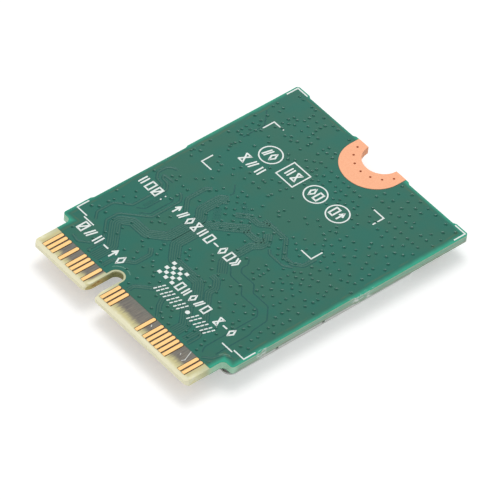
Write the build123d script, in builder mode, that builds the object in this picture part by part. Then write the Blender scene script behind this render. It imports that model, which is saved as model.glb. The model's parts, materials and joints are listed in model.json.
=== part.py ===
from build123d import *
import os

# Laptop wifi card, 22 by 30 mm, lying on its shield lid with the solder side up.
# Origin: centre of the footprint, at the lid's outer face. X runs across the card, the edge
# contacts point to -Y, and the component side faces -Z. All sizes are in millimetres.

# Board outline
board_width = 22.0
board_length = 30.0
laminate_thickness = 0.71
shoulder_width = 1.075
tongue_length = 4.0
tongue_corner = 0.45
shoulder_fillet = 0.45
shoulder_corner = 0.3
board_corner = 0.3
bevel_length = 0.35
bevel_depth = 0.17

# Key notch in the tongue
key_width = 1.2
key_depth = 3.55
key_relief = 0.17

# Shallow steps that the panel tabs leave in the far edge and the two long sides
ear_length = 1.5
edge_recess = 0.17
side_recess = 0.12
side_recess_front = -7.7
side_recess_back = 2.3
route_step = 0.3
screw_land_half = 3.35

# Copper and solder mask
copper_thickness = 0.035
mask_thickness = 0.045
mask_clearance = 0.03
mask_setback = 2.5

# Edge contacts: pins are numbered across both sides, even ones on the solder side
contact_spacing = 0.5
contact_width = 0.35
contact_side_margin = 0.45
contact_setback = 0.36
contact_taper = 0.1
middle_pin = 38
key_first_pin = 24
key_last_pin = 31
pins_upper = [2, 4, 6, 10, 14, 16, 18, 22, 32, 34, 36, 50, 54, 56, 58, 60, 62, 64, 72, 74]
pins_lower = [*range(1, 24, 2), *range(33, 76, 2)]

# Half-moon screw notch with its ground pad
screw_notch_radius = 1.8
screw_pad_radius = 3.03
screw_pad_setback = 0.98
pad_via_count = 7
pad_via_circle_radius = 2.48
pad_via_angle = 24.0
pad_via_radius = 0.11
pad_via_sides = 8
via_plating = 0.03

# White print
print_thickness = 0.02
print_line = 0.13
bracket_arm = 1.3
bracket_inset = 0.22
bracket_front_inset = 1.4
offset_line_drop = 0.25
label_frame_x = -1.73
label_frame_y = 6.39
label_frame_width = 14.2
label_frame_length = 8.08
mark_row_y = 7.6
mark_square_x = -3.03
mark_square_side = 2.22

# Height of everything on the component side
component_height = 1.5

# Shield frame
frame_side_margin = 1.0
frame_front_margin = 0.7
frame_pad_gap = 1.09
frame_thickness = 0.15
frame_corner = 0.6
flange_width = 0.6
rear_bay_length = 5.6
bridge_width = 1.2
bridge_disc_radius = 1.6
trace_gap_width = 0.6
trace_gap_height = 0.25
trace_gap_count = 5
land_margin = 0.15

# Shield lid
lid_thickness = 0.12
lid_clearance = 0.04
lid_skirt_gap = 0.2
lid_edge_chamfer = 0.08
lid_finger_count = 4
lid_slot_width = 0.3
lid_corner_relief = 0.5
detent_length = 1.2
detent_height = 0.4
detent_depth = 0.12
detent_clearance = 0.06
detent_drop = 0.55

# Least room between the walls of the shield frame and the pieces in its two bays
bay_side_margin = 0.5
bay_end_margin = 0.35
piece_gap = 0.3

# Radio chip
chip_x = -1.4
chip_side = 7.0
chip_substrate_thickness = 0.25
chip_moulding_thickness = 0.6
chip_moulding_inset = 0.1
chip_land_thickness = 0.05
chip_land_length = 0.45
chip_land_width = 0.3
chip_land_count = 9
chip_land_spacing = 0.65
chip_pad_side = 4.6

# Front end modules, filters and diplexers, mirrored left and right
module_side = 3.0
module_height = 0.75
band_filter_x = 1.6
band_filter_spacing = 2.2
band_filter_rows = 2
band_filter_length = 1.4
band_filter_width = 1.1
band_filter_height = 0.55
diplexer_length = 1.6
diplexer_width = 0.8
diplexer_height = 0.6

# Timing crystal, memory chip and power switch
crystal_length = 2.5
crystal_width = 2.0
crystal_case_height = 0.4
crystal_cap_height = 0.15
crystal_cap_inset = 0.18
memory_length = 3.0
memory_width = 2.0
memory_height = 0.6
switch_side = 1.6
switch_height = 0.55

# Power inductors
inductor_spacing = 3.0
inductor_count = 2
inductor_length = 2.0
inductor_width = 1.6
inductor_height = 1.0
inductor_terminal = 0.4

# Chip capacitors and chip resistors
chip_part_length = 1.0
chip_part_width = 0.5
chip_part_terminal = 0.25
chip_part_wrap = 0.02
capacitor_height = 0.5
resistor_height = 0.35
row_spacing = 0.9
matching_row_setback = 2.55

# Antenna receptacles
antenna_inset = 2.7
antenna_setback = 2.55
receptacle_side = 1.9
receptacle_base_height = 0.25
receptacle_corner = 0.15
shell_radius = 0.75
shell_wall = 0.12
shell_plate_margin = 0.1
shell_height = 0.6
shell_strap_width = 0.9
shell_strap_thickness = 0.08
shell_foot_length = 0.25
antenna_pin_radius = 0.15
antenna_pin_recess = 0.05
antenna_tail_width = 0.36
antenna_tail_thickness = 0.1
antenna_tail_length = 0.3

# Levels, from the lid's outer face up
lower_face = component_height
laminate_low = lower_face + mask_thickness
laminate_top = laminate_low + laminate_thickness
upper_face = laminate_top + mask_thickness
land_face = laminate_low - copper_thickness

# Places across and along the card, from its edges
half_width = board_width / 2
tongue_width = board_width - 2 * shoulder_width
leading_edge = -board_length / 2
far_edge = board_length / 2
shoulder_y = leading_edge + tongue_length
key_x = ((key_first_pin + key_last_pin) / 2 - middle_pin) * contact_spacing / 2
contact_length = mask_setback - contact_setback - mask_clearance
contact_y = leading_edge + contact_setback + contact_length / 2
key_arc_y = leading_edge + key_depth - key_width / 2
screw_pad_y = far_edge - screw_pad_setback
antenna_x = half_width - antenna_inset
antenna_y = far_edge - antenna_setback

# Shield frame between the shoulders and the screw pad
frame_front_y = shoulder_y + frame_front_margin
frame_back_y = screw_pad_y - screw_pad_radius - frame_pad_gap
frame_y = (frame_front_y + frame_back_y) / 2
frame_width = board_width - 2 * frame_side_margin
frame_length = frame_back_y - frame_front_y
bridge_y = frame_back_y - rear_bay_length

# Room for the pieces in the front bay and the rear bay of the frame
bay_side_x = frame_width / 2 - frame_thickness - bay_side_margin
front_bay_low = frame_front_y + frame_thickness + bay_end_margin
front_bay_high = bridge_y - frame_thickness / 2 - bay_end_margin
rear_bay_high = frame_back_y - frame_thickness - bay_end_margin
row_offset = piece_gap + chip_part_length / 2
chip_row_room = piece_gap + chip_part_length
chip_y = (front_bay_low + front_bay_high + chip_row_room) / 2
memory_x = memory_width / 2 - bay_side_x
memory_y = front_bay_low + chip_row_room + memory_length / 2
crystal_x = crystal_width / 2 - bay_side_x
crystal_y = front_bay_high - chip_row_room - crystal_length / 2
inductor_x = bay_side_x - chip_row_room - inductor_length / 2
inductor_y = [front_bay_low + inductor_width / 2 + i * inductor_spacing for i in range(inductor_count)]
switch_x = inductor_x
switch_y = front_bay_high - switch_side / 2
diplexer_x = bay_side_x - diplexer_width / 2
diplexer_y = rear_bay_high - diplexer_length / 2
module_x = diplexer_x - diplexer_width / 2 - piece_gap - module_side / 2
module_y = rear_bay_high - module_side / 2
band_filter_y = [rear_bay_high - band_filter_width / 2 - i * band_filter_spacing for i in range(band_filter_rows)]

os.makedirs("parts", exist_ok=True)


def write_part(builder, name):
    builder.part.label = name
    export_step(builder.part, f"parts/{name}.step")


def draw_key_slot(grow):
    radius = key_width / 2 + grow
    with Locations((key_x, key_arc_y)):
        Circle(radius, mode=Mode.SUBTRACT)
    with Locations((key_x, leading_edge)):
        Rectangle(2 * radius, 2 * (key_arc_y - leading_edge), mode=Mode.SUBTRACT)


def screw_pad_shape(grow):
    radius = screw_pad_radius + grow
    with BuildSketch() as shape:
        with Locations((0, screw_pad_y)):
            Circle(radius)
        with Locations((0, (screw_pad_y + far_edge) / 2)):
            Rectangle(2 * radius, far_edge - screw_pad_y)
        with Locations((0, far_edge + radius)):
            Rectangle(2 * radius, 2 * radius, mode=Mode.SUBTRACT)
    return shape.sketch


def draw_frame_track(grow):
    spread = land_margin + grow
    inset = frame_thickness + spread
    with Locations((0, frame_y)):
        RectangleRounded(frame_width + 2 * spread, frame_length + 2 * spread, frame_corner + spread)
        RectangleRounded(
            frame_width - 2 * inset,
            frame_length - 2 * inset,
            frame_corner - inset / 2,
            mode=Mode.SUBTRACT,
        )
    with Locations((0, bridge_y)):
        Rectangle(frame_width, frame_thickness + 2 * spread)


def pad_via_places():
    first = 270 - pad_via_angle * (pad_via_count - 1) / 2
    spread = pad_via_angle * (pad_via_count - 1)
    return PolarLocations(pad_via_circle_radius, pad_via_count, first, spread, endpoint=True)


# The pins that the tongue has room for
def contact_places(pins):
    reach = tongue_width / 2 - contact_width / 2 - contact_side_margin
    places = [((pin - middle_pin) * contact_spacing / 2, contact_y) for pin in pins]
    return [(x, y) for x, y in places if abs(x) <= reach]


# Outline of the board, with corners as x, y and rounding, for the right half and its mirror
recessed_side = half_width - side_recess
recessed_edge = far_edge - edge_recess
right_corners = [
    (tongue_width / 2, leading_edge, tongue_corner),
    (tongue_width / 2, shoulder_y, shoulder_fillet),
    (half_width, shoulder_y, shoulder_corner),
    (half_width, side_recess_front - route_step, 0),
    (recessed_side, side_recess_front, 0),
    (recessed_side, side_recess_back, 0),
    (half_width, side_recess_back + route_step, 0),
    (half_width, far_edge, board_corner),
    (half_width - ear_length, far_edge, 0),
    (half_width - ear_length - route_step, recessed_edge, 0),
    (screw_land_half + route_step, recessed_edge, 0),
    (screw_land_half, far_edge, 0),
]
left_corners = [(-x, y, rounding) for x, y, rounding in reversed(right_corners)]
corners = right_corners + left_corners

with BuildSketch() as board_outline:
    with BuildLine():
        Polyline(*[(x, y) for x, y, rounding in corners], close=True)
    make_face()
    for x, y, rounding in corners:
        if rounding:
            fillet(board_outline.vertices().sort_by_distance((x, y))[0], radius=rounding)

# Circuit board laminate, bevelled at the leading edge on both faces
with BuildPart() as circuit_board:
    with BuildSketch(Plane.XY.offset(laminate_low)):
        add(board_outline.sketch)
        draw_key_slot(0)
        with Locations((0, far_edge)):
            Circle(screw_notch_radius + copper_thickness, mode=Mode.SUBTRACT)
            with pad_via_places():
                RegularPolygon(pad_via_radius + via_plating, pad_via_sides, mode=Mode.SUBTRACT)
    extrude(amount=laminate_thickness)
    with BuildSketch(Plane.YZ):
        for face, depth in ((laminate_low, bevel_depth), (laminate_top, -bevel_depth)):
            with BuildLine():
                Polyline(
                    (leading_edge, face),
                    (leading_edge + bevel_length, face),
                    (leading_edge, face + depth),
                    close=True,
                )
            make_face()
    extrude(amount=board_width / 2, both=True, mode=Mode.SUBTRACT)
write_part(circuit_board, "circuit_board")

# Solder mask on the solder side, open at the contacts, the key notch and the screw pad
with BuildPart() as solder_mask_upper:
    with BuildSketch(Plane.XY.offset(laminate_top)):
        add(board_outline.sketch)
        with Locations((0, leading_edge)):
            Rectangle(board_width, 2 * mask_setback, mode=Mode.SUBTRACT)
        draw_key_slot(key_relief)
        add(screw_pad_shape(mask_clearance), mode=Mode.SUBTRACT)
    extrude(amount=mask_thickness)
write_part(solder_mask_upper, "solder_mask_upper")

# Solder mask on the component side, also open along the shield land
with BuildSketch() as land_opening:
    draw_frame_track(mask_clearance)

with BuildPart() as solder_mask_lower:
    with BuildSketch(Plane.XY.offset(lower_face)):
        add(board_outline.sketch)
        with Locations((0, leading_edge)):
            Rectangle(board_width, 2 * mask_setback, mode=Mode.SUBTRACT)
        draw_key_slot(key_relief)
        add(screw_pad_shape(mask_clearance), mode=Mode.SUBTRACT)
        add(land_opening.sketch, mode=Mode.SUBTRACT)
    extrude(amount=mask_thickness)
write_part(solder_mask_lower, "solder_mask_lower")

# Gold edge contacts, tapered at the end under the mask
with BuildSketch() as contact_finger:
    Rectangle(contact_width, contact_length)
    chamfer(contact_finger.vertices().group_by(Axis.Y)[-1], length=contact_taper)

with BuildPart() as edge_contacts_upper:
    with BuildSketch(Plane.XY.offset(laminate_top)):
        with Locations(*contact_places(pins_upper)):
            add(contact_finger.sketch)
    extrude(amount=copper_thickness)
write_part(edge_contacts_upper, "edge_contacts_upper")

with BuildPart() as edge_contacts_lower:
    with BuildSketch(Plane.XY.offset(land_face)):
        with Locations(*contact_places(pins_lower)):
            add(contact_finger.sketch)
    extrude(amount=copper_thickness)
write_part(edge_contacts_lower, "edge_contacts_lower")

# Screw ground pad: one copper skin over both faces, the notch wall and the plated holes
with BuildPart() as screw_ground_pad:
    for level in (land_face, laminate_top):
        with BuildSketch(Plane.XY.offset(level)):
            add(screw_pad_shape(0))
            with Locations((0, far_edge)):
                Circle(screw_notch_radius, mode=Mode.SUBTRACT)
        extrude(amount=copper_thickness)
    with BuildSketch(Plane.XY.offset(laminate_low)):
        with Locations((0, far_edge)):
            Circle(screw_notch_radius + copper_thickness)
            Circle(screw_notch_radius, mode=Mode.SUBTRACT)
        with Locations((0, far_edge + screw_pad_radius)):
            Rectangle(2 * screw_pad_radius, 2 * screw_pad_radius, mode=Mode.SUBTRACT)
        with Locations((0, far_edge)):
            with pad_via_places():
                RegularPolygon(pad_via_radius + via_plating, pad_via_sides)
    extrude(amount=laminate_thickness)
    with BuildSketch(Plane.XY.offset(land_face)):
        with Locations((0, far_edge)):
            with pad_via_places():
                RegularPolygon(pad_via_radius, pad_via_sides)
    extrude(amount=laminate_thickness + 2 * copper_thickness, mode=Mode.SUBTRACT)
write_part(screw_ground_pad, "screw_ground_pad")


# White print on the solder side
def draw_bracket(x, y, arm_x, arm_y):
    with Locations((x + arm_x * (bracket_arm - print_line) / 2, y)):
        Rectangle(bracket_arm, print_line)
    with Locations((x, y + arm_y * (bracket_arm - print_line) / 2)):
        Rectangle(print_line, bracket_arm)


bracket_x = half_width - bracket_inset
bracket_far_y = far_edge - bracket_inset
bracket_front_y = shoulder_y + bracket_front_inset
offset_line_x = bracket_x - 1.5 * bracket_arm + print_line

with BuildPart() as legend_print:
    with BuildSketch(Plane.XY.offset(upper_face)):
        for side in (-1, 1):
            draw_bracket(side * bracket_x, bracket_far_y, -side, -1)
            draw_bracket(side * bracket_x, bracket_front_y, -side, 1)
            with Locations((side * offset_line_x, bracket_front_y - offset_line_drop)):
                Rectangle(bracket_arm, print_line)
            for end in (-1, 1):
                frame_corner_x = label_frame_x + side * label_frame_width / 2
                frame_corner_y = label_frame_y + end * label_frame_length / 2
                draw_bracket(frame_corner_x, frame_corner_y, -side, -end)
        with Locations((mark_square_x, mark_row_y)):
            Rectangle(mark_square_side, mark_square_side)
            Rectangle(mark_square_side - 2 * print_line, mark_square_side - 2 * print_line, mode=Mode.SUBTRACT)
    extrude(amount=print_thickness)
write_part(legend_print, "legend_print")

# Shield land: the copper track that the shield frame is soldered to
with BuildPart() as shield_land:
    with BuildSketch(Plane.XY.offset(land_face)):
        draw_frame_track(0)
    extrude(amount=copper_thickness)
write_part(shield_land, "shield_land")

# Shield frame: wall, inward flange with its window, bridge, divider wall and detent slots
frame_top = lid_thickness
frame_height = land_face - frame_top
detent_level = lid_thickness + detent_drop
long_finger_pitch = frame_length / lid_finger_count
wide_finger_pitch = frame_width / lid_finger_count
finger_steps = [i - (lid_finger_count - 1) / 2 for i in range(lid_finger_count)]


# One plane for each detent, across its length, with x into the can from walls at these half sizes
def detent_planes(half_x, half_y):
    planes = []
    for side in (-1, 1):
        for step in finger_steps:
            on_side = (side * half_x, frame_y + step * long_finger_pitch, detent_level)
            on_end = (step * wide_finger_pitch, frame_y + side * half_y, detent_level)
            planes.append(Plane(on_side, x_dir=(-side, 0, 0), z_dir=(0, 1, 0)))
            planes.append(Plane(on_end, x_dir=(0, -side, 0), z_dir=(1, 0, 0)))
    return planes


def draw_bead(height):
    base = height / 2
    crown = base - detent_depth
    Polygon((0, -base), (detent_depth, -crown), (detent_depth, crown), (0, base), align=None)


with BuildPart() as shield_frame:
    with BuildSketch(Plane.XY.offset(frame_top)):
        with Locations((0, frame_y)):
            RectangleRounded(frame_width, frame_length, frame_corner)
    extrude(amount=frame_height)
    with BuildSketch(Plane.XY.offset(frame_top + frame_thickness)):
        with Locations((0, frame_y)):
            RectangleRounded(
                frame_width - 2 * frame_thickness,
                frame_length - 2 * frame_thickness,
                frame_corner - frame_thickness,
            )
    extrude(amount=frame_height - frame_thickness, mode=Mode.SUBTRACT)
    with BuildSketch(Plane.XY.offset(frame_top)):
        with Locations((0, frame_y)):
            inset = frame_thickness + flange_width
            RectangleRounded(frame_width - 2 * inset, frame_length - 2 * inset, frame_corner)
        with Locations((0, bridge_y)):
            Rectangle(frame_width, bridge_width, mode=Mode.SUBTRACT)
            Circle(bridge_disc_radius, mode=Mode.SUBTRACT)
    extrude(amount=frame_thickness, mode=Mode.SUBTRACT)
    with BuildSketch(Plane.XY.offset(frame_top)):
        with Locations((0, bridge_y)):
            Rectangle(frame_width - frame_thickness, frame_thickness)
    extrude(amount=frame_height)
    # Gaps under the walls where traces pass
    with Locations((0, frame_y, land_face)):
        with GridLocations(frame_width / trace_gap_count, 0, trace_gap_count, 1):
            Box(trace_gap_width, 2 * frame_length, 2 * trace_gap_height, mode=Mode.SUBTRACT)
        with GridLocations(0, frame_length / trace_gap_count, 1, trace_gap_count):
            Box(2 * frame_width, trace_gap_width, 2 * trace_gap_height, mode=Mode.SUBTRACT)
    # Detent slots that the lid's beads snap into
    with BuildSketch(*detent_planes(frame_width / 2, frame_length / 2)):
        Rectangle(2 * frame_thickness, detent_height + 2 * detent_clearance)
    extrude(amount=detent_length / 2 + detent_clearance, both=True, mode=Mode.SUBTRACT)
write_part(shield_frame, "shield_frame")

# Shield lid: folded sheet with sprung skirt fingers, open corners and detent beads
lid_inner_width = frame_width + 2 * lid_clearance
lid_inner_length = frame_length + 2 * lid_clearance
lid_width = lid_inner_width + 2 * lid_thickness
lid_length = lid_inner_length + 2 * lid_thickness
lid_height = component_height - lid_skirt_gap
lid_corner = frame_corner + lid_clearance + lid_thickness
slot_height = lid_height - 2 * lid_thickness

with BuildPart() as shield_lid:
    with BuildSketch():
        with Locations((0, frame_y)):
            RectangleRounded(lid_width, lid_length, lid_corner)
    extrude(amount=lid_height)
    chamfer(shield_lid.faces().sort_by(Axis.Z)[0].edges(), length=lid_edge_chamfer)
    with BuildSketch(Plane.XY.offset(lid_thickness)):
        with Locations((0, frame_y)):
            RectangleRounded(lid_inner_width, lid_inner_length, frame_corner + lid_clearance)
    extrude(amount=lid_height, mode=Mode.SUBTRACT)
    # Slots between the fingers, and the open corners
    seat_low = (Align.CENTER, Align.CENTER, Align.MIN)
    with Locations((0, frame_y, lid_height - slot_height)):
        with GridLocations(wide_finger_pitch, 0, lid_finger_count - 1, 1):
            Box(lid_slot_width, 2 * lid_length, slot_height, align=seat_low, mode=Mode.SUBTRACT)
        with GridLocations(0, long_finger_pitch, 1, lid_finger_count - 1):
            Box(2 * lid_width, lid_slot_width, slot_height, align=seat_low, mode=Mode.SUBTRACT)
        with GridLocations(lid_width - lid_corner_relief, lid_length - lid_corner_relief, 2, 2):
            Box(2 * lid_corner, 2 * lid_corner, slot_height, align=seat_low, mode=Mode.SUBTRACT)
    # Beads pressed inwards: a ridge inside each finger and its groove outside
    with BuildSketch(*detent_planes(lid_inner_width / 2, lid_inner_length / 2)):
        draw_bead(detent_height)
    extrude(amount=detent_length / 2, both=True)
    with BuildSketch(*detent_planes(lid_width / 2, lid_length / 2)):
        draw_bead(detent_height - lid_thickness)
    extrude(amount=detent_length / 2 - lid_thickness, both=True, mode=Mode.SUBTRACT)
write_part(shield_lid, "shield_lid")

# Everything on the component side stands on the lower mask and hangs towards -Z
hang = (Align.CENTER, Align.CENTER, Align.MAX)
chip_face = lower_face - chip_land_thickness
chip_rows = (chip_land_count - 1) * chip_land_spacing / 2
chip_row_offset = chip_side / 2 - chip_land_length / 2 - chip_moulding_inset

# Radio chip: solder lands, substrate and moulding
with BuildPart() as radio_chip_lands:
    with Locations((chip_x, chip_y, lower_face)):
        Box(chip_pad_side, chip_pad_side, chip_land_thickness, align=hang)
        for i in range(chip_land_count):
            along = i * chip_land_spacing - chip_rows
            with Locations((along, chip_row_offset, 0), (along, -chip_row_offset, 0)):
                Box(chip_land_width, chip_land_length, chip_land_thickness, align=hang)
            with Locations((chip_row_offset, along, 0), (-chip_row_offset, along, 0)):
                Box(chip_land_length, chip_land_width, chip_land_thickness, align=hang)
write_part(radio_chip_lands, "radio_chip_lands")

with BuildPart() as radio_chip_substrate:
    with Locations((chip_x, chip_y, chip_face)):
        Box(chip_side, chip_side, chip_substrate_thickness, align=hang)
write_part(radio_chip_substrate, "radio_chip_substrate")

with BuildPart() as radio_chip_moulding:
    moulding_side = chip_side - 2 * chip_moulding_inset
    with Locations((chip_x, chip_y, chip_face - chip_substrate_thickness)):
        Box(moulding_side, moulding_side, chip_moulding_thickness, align=hang)
    chamfer(radio_chip_moulding.faces().sort_by(Axis.Z)[0].edges(), length=chip_moulding_inset)
write_part(radio_chip_moulding, "radio_chip_moulding")

# Front end modules, one for each antenna
with BuildPart() as front_end_modules:
    with Locations((-module_x, module_y, lower_face), (module_x, module_y, lower_face)):
        Box(module_side, module_side, module_height, align=hang)
write_part(front_end_modules, "front_end_modules")

# Band filters between the modules, and a diplexer beside each of them
with BuildPart() as band_filters:
    with Locations(*[(side * band_filter_x, y, lower_face) for side in (-1, 1) for y in band_filter_y]):
        Box(band_filter_length, band_filter_width, band_filter_height, align=hang)
write_part(band_filters, "band_filters")

with BuildPart() as diplexer_filters:
    with Locations((-diplexer_x, diplexer_y, lower_face), (diplexer_x, diplexer_y, lower_face)):
        Box(diplexer_width, diplexer_length, diplexer_height, align=hang)
write_part(diplexer_filters, "diplexer_filters")

# Timing crystal: ceramic case and metal cap
with BuildPart() as crystal_case:
    with Locations((crystal_x, crystal_y, lower_face)):
        Box(crystal_width, crystal_length, crystal_case_height, align=hang)
write_part(crystal_case, "crystal_case")

with BuildPart() as crystal_cap:
    with Locations((crystal_x, crystal_y, lower_face - crystal_case_height)):
        Box(
            crystal_width - 2 * crystal_cap_inset,
            crystal_length - 2 * crystal_cap_inset,
            crystal_cap_height,
            align=hang,
        )
    chamfer(crystal_cap.edges().filter_by(Axis.Z), length=crystal_cap_inset)
write_part(crystal_cap, "crystal_cap")

# Memory chip and power switch
with BuildPart() as memory_chip:
    with Locations((memory_x, memory_y, lower_face)):
        Box(memory_width, memory_length, memory_height, align=hang)
write_part(memory_chip, "memory_chip")

with BuildPart() as power_switch:
    with Locations((switch_x, switch_y, lower_face)):
        Box(switch_side, switch_side, switch_height, align=hang)
write_part(power_switch, "power_switch")

# Power inductors: a ferrite body between two end terminals
with BuildPart() as inductor_bodies:
    with Locations(*[(inductor_x, y, lower_face) for y in inductor_y]):
        Box(inductor_length - 2 * inductor_terminal, inductor_width, inductor_height, align=hang)
write_part(inductor_bodies, "inductor_bodies")

with BuildPart() as inductor_terminals:
    end_x = (inductor_length - inductor_terminal) / 2
    with Locations(*[(inductor_x + side * end_x, y, lower_face) for side in (-1, 1) for y in inductor_y]):
        Box(inductor_terminal, inductor_width, inductor_height, align=hang)
write_part(inductor_terminals, "inductor_terminals")


# Chip parts stand in centred rows, each turned to lie across its row
def chip_row(x, y, step_x, step_y, count):
    turn = 90 if step_x else 0
    steps = [i - (count - 1) / 2 for i in range(count)]
    return [Location((x + i * step_x, y + i * step_y, lower_face), (0, 0, turn)) for i in steps]


def write_chip_parts(name, places, height):
    body_length = chip_part_length - 2 * chip_part_terminal
    body_width = chip_part_width - 2 * chip_part_wrap
    with BuildPart() as bodies:
        with Locations(*places):
            with Locations((0, 0, -chip_part_wrap)):
                Box(body_length, body_width, height - 2 * chip_part_wrap, align=hang)
    write_part(bodies, f"{name}_bodies")
    end = (chip_part_length - chip_part_terminal) / 2
    with BuildPart() as terminals:
        with Locations(*places):
            with Locations((end, 0, 0), (-end, 0, 0)):
                Box(chip_part_terminal, chip_part_width, height, align=hang)
    write_part(terminals, f"{name}_terminals")


chip_row_reach = chip_side / 2 + row_offset
module_row_y = module_y - module_side / 2 - row_offset
diplexer_row_y = diplexer_y - diplexer_length / 2 - row_offset
inductor_row_x = inductor_x + inductor_length / 2 + row_offset
matching_row_x = antenna_x - matching_row_setback

capacitor_places = chip_row(chip_x, chip_y - chip_row_reach, row_spacing, 0, 8)
capacitor_places += chip_row(inductor_row_x, sum(inductor_y) / 2, 0, row_spacing, 5)
for side in (-1, 1):
    capacitor_places += chip_row(side * module_x, module_row_y, row_spacing, 0, 3)
    capacitor_places += chip_row(side * matching_row_x, antenna_y, row_spacing, 0, 2)
write_chip_parts("capacitor", capacitor_places, capacitor_height)

memory_row_y = memory_y - memory_length / 2 - row_offset
crystal_row_y = crystal_y + crystal_length / 2 + row_offset
resistor_places = chip_row(chip_x + chip_row_reach, chip_y, 0, row_spacing, 7)
resistor_places += chip_row(memory_x, memory_row_y, row_spacing, 0, 3)
resistor_places += chip_row(crystal_x, crystal_row_y, row_spacing, 0, 3)
for side in (-1, 1):
    resistor_places += chip_row(side * diplexer_x, diplexer_row_y, row_spacing, 0, 2)
write_chip_parts("resistor", resistor_places, resistor_height)

# Antenna receptacles, one near each far corner
shell_base = lower_face - receptacle_base_height
strap_face = shell_base - shell_strap_thickness
shell_top = lower_face - shell_height
shell_plate_side = 2 * (shell_radius + shell_plate_margin)
tail_end = receptacle_side / 2 + antenna_tail_length
pin_height = lower_face - shell_top - antenna_pin_recess

for side_name, x in (("main", antenna_x), ("second", -antenna_x)):
    # Plastic base, moulded round the centre contact and its tail
    with BuildPart() as receptacle_base:
        with Locations((x, antenna_y, lower_face)):
            Box(receptacle_side, receptacle_side, receptacle_base_height, align=hang)
            chamfer(receptacle_base.edges().filter_by(Axis.Z).group_by(Axis.Y)[-1], length=receptacle_corner)
            Cylinder(antenna_pin_radius, receptacle_base_height, align=hang, mode=Mode.SUBTRACT)
            Box(antenna_tail_width, 2 * tail_end, antenna_tail_thickness, align=hang, mode=Mode.SUBTRACT)
    write_part(receptacle_base, f"{side_name}_antenna_base")

    # Centre contact: a pin and its solder tail
    with BuildPart() as receptacle_contact:
        with Locations((x, antenna_y, lower_face)):
            Cylinder(antenna_pin_radius, pin_height, align=hang)
            Box(antenna_tail_width, 2 * tail_end, antenna_tail_thickness, align=hang)
    write_part(receptacle_contact, f"{side_name}_antenna_contact")

    # Ground shell: ring on its plate, strap over the base, legs and feet
    with BuildPart() as receptacle_shell:
        with BuildSketch(Plane.XY.offset(strap_face)):
            with Locations((x, antenna_y)):
                Rectangle(receptacle_side + 2 * shell_strap_thickness, shell_strap_width)
                Rectangle(shell_plate_side, shell_plate_side)
                Circle(shell_radius - shell_wall, mode=Mode.SUBTRACT)
        extrude(amount=shell_strap_thickness)
        with BuildSketch(Plane.XY.offset(shell_top)):
            with Locations((x, antenna_y)):
                Circle(shell_radius)
                Circle(shell_radius - shell_wall, mode=Mode.SUBTRACT)
        extrude(amount=strap_face - shell_top)
        for side in (-1, 1):
            leg_x = x + side * (receptacle_side + shell_strap_thickness) / 2
            with Locations((leg_x, antenna_y, lower_face)):
                Box(shell_strap_thickness, shell_strap_width, receptacle_base_height, align=hang)
            foot_x = x + side * (receptacle_side / 2 + shell_foot_length / 2)
            with Locations((foot_x, antenna_y, lower_face)):
                Box(shell_foot_length, shell_strap_width, shell_strap_thickness, align=hang)
    write_part(receptacle_shell, f"{side_name}_antenna_shell")
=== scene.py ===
import json
import math
import random

import bmesh
import bpy
from mathutils import Matrix, Vector


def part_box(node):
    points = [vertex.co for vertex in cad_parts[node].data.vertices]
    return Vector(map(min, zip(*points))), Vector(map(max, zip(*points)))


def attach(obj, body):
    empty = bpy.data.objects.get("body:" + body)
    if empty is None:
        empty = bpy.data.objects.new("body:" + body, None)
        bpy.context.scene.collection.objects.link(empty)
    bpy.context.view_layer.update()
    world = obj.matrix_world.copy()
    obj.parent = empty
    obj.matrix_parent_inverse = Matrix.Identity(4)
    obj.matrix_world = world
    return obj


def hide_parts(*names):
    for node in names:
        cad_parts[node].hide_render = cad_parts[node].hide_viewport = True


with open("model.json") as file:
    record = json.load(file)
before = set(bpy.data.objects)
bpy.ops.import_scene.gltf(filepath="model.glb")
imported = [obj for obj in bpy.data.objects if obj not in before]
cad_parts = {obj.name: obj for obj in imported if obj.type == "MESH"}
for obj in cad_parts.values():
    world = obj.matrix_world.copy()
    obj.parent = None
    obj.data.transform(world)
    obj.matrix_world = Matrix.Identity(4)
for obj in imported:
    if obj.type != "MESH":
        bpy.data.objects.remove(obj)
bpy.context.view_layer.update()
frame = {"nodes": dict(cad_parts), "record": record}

mm = 0.001
nodes = frame["nodes"]
print("frame loaded,", len(nodes), "nodes")


# Camera, fitted to the contacts, four board corners and three printed rings
cameraSet = {
    "azimuth": 45.1094,
    "elevation": 45.4790,
    "roll": 6.4021,
    "distance": 459.5006,
    "target": (1.5876, -1.1287, 2.30),
    "focalPixels": 5523.72,
    "frameWidth": 500,
    "sensor": 36,
}


def makeCamera(s):
    az, el, roll = (math.radians(s[k]) for k in ("azimuth", "elevation", "roll"))
    back = Vector((math.sin(az) * math.cos(el), -math.cos(az) * math.cos(el), math.sin(el)))
    right = (-back).cross(Vector((0, 0, 1))).normalized()
    up = right.cross(-back)
    side = right * math.cos(roll) + up * math.sin(roll)
    top = up * math.cos(roll) - right * math.sin(roll)
    data = bpy.data.cameras.new("photoCamera")
    data.sensor_width = s["sensor"]
    data.lens = s["focalPixels"] * s["sensor"] / s["frameWidth"]
    camera = bpy.data.objects.new("photoCamera", data)
    bpy.context.scene.collection.objects.link(camera)
    spot = (Vector(s["target"]) + back * s["distance"]) * mm
    turn = Matrix((side, top, back)).transposed().to_4x4()
    camera.matrix_world = Matrix.Translation(spot) @ turn
    bpy.context.scene.camera = camera


makeCamera(cameraSet)
bpy.context.scene.view_settings.view_transform = "Standard"
print("camera set")


# Colours are written as they look on screen, 0 to 255
def paint(red, green, blue):
    def linear(c):
        c /= 255
        return c / 12.92 if c <= 0.04045 else ((c + 0.055) / 1.055) ** 2.4
    return (linear(red), linear(green), linear(blue), 1)


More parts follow.
